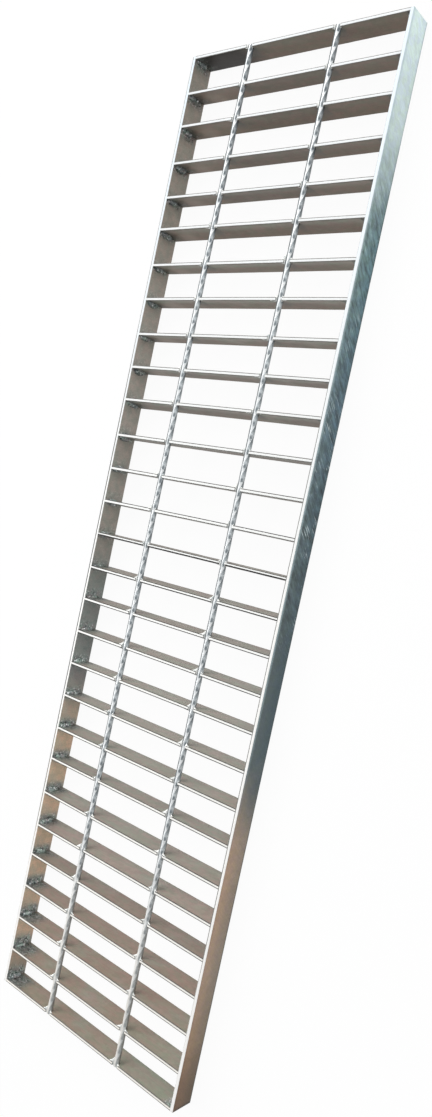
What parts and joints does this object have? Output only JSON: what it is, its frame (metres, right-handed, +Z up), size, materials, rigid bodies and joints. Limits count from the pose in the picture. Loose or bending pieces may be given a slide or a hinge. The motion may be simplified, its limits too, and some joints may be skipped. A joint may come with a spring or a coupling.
{
  "type": "drain grate",
  "caption": "Rectangular galvanised steel drain grate: flat bearing bars welded between edge bands, tied by twisted square rods forged flush into the walking face.",
  "frame": {"origin": "middle of the underside, in the plane that the grate rests on", "axes": "+X across the width, +Y along the length and the twisted rods, +Z up out of the walking face"},
  "size_m": [0.25, 0.985, 0.025],
  "materials": {
    "galvanised_band": "hot-dip galvanised, satin",
    "galvanised_bar": "hot-dip galvanised, satin",
    "galvanised_rod": "hot-dip galvanised, bright",
    "zinc_covered_weld": "rough weld under thin zinc"
  },
  "bodies": {
    "root": {"left_band": "galvanised_band", "right_band": "galvanised_band", "near_end_bar": "galvanised_bar", "bearing_bar_01": "galvanised_bar", "bearing_bar_02": "galvanised_bar", "bearing_bar_03": "galvanised_bar", "bearing_bar_04": "galvanised_bar", "bearing_bar_05": "galvanised_bar", "bearing_bar_06": "galvanised_bar", "bearing_bar_07": "galvanised_bar", "bearing_bar_08": "galvanised_bar", "bearing_bar_09": "galvanised_bar", "bearing_bar_10": "galvanised_bar", "bearing_bar_11": "galvanised_bar", "bearing_bar_12": "galvanised_bar", "bearing_bar_13": "galvanised_bar", "bearing_bar_14": "galvanised_bar", "bearing_bar_15": "galvanised_bar", "bearing_bar_16": "galvanised_bar", "bearing_bar_17": "galvanised_bar", "bearing_bar_18": "galvanised_bar", "bearing_bar_19": "galvanised_bar", "bearing_bar_20": "galvanised_bar", "bearing_bar_21": "galvanised_bar", "bearing_bar_22": "galvanised_bar", "bearing_bar_23": "galvanised_bar", "bearing_bar_24": "galvanised_bar", "bearing_bar_25": "galvanised_bar", "bearing_bar_26": "galvanised_bar", "bearing_bar_27": "galvanised_bar", "far_end_bar": "galvanised_bar", "left_rod": "galvanised_rod", "right_rod": "galvanised_rod", "left_welds": "zinc_covered_weld", "right_welds": "zinc_covered_weld"}
  },
  "joints": []
}
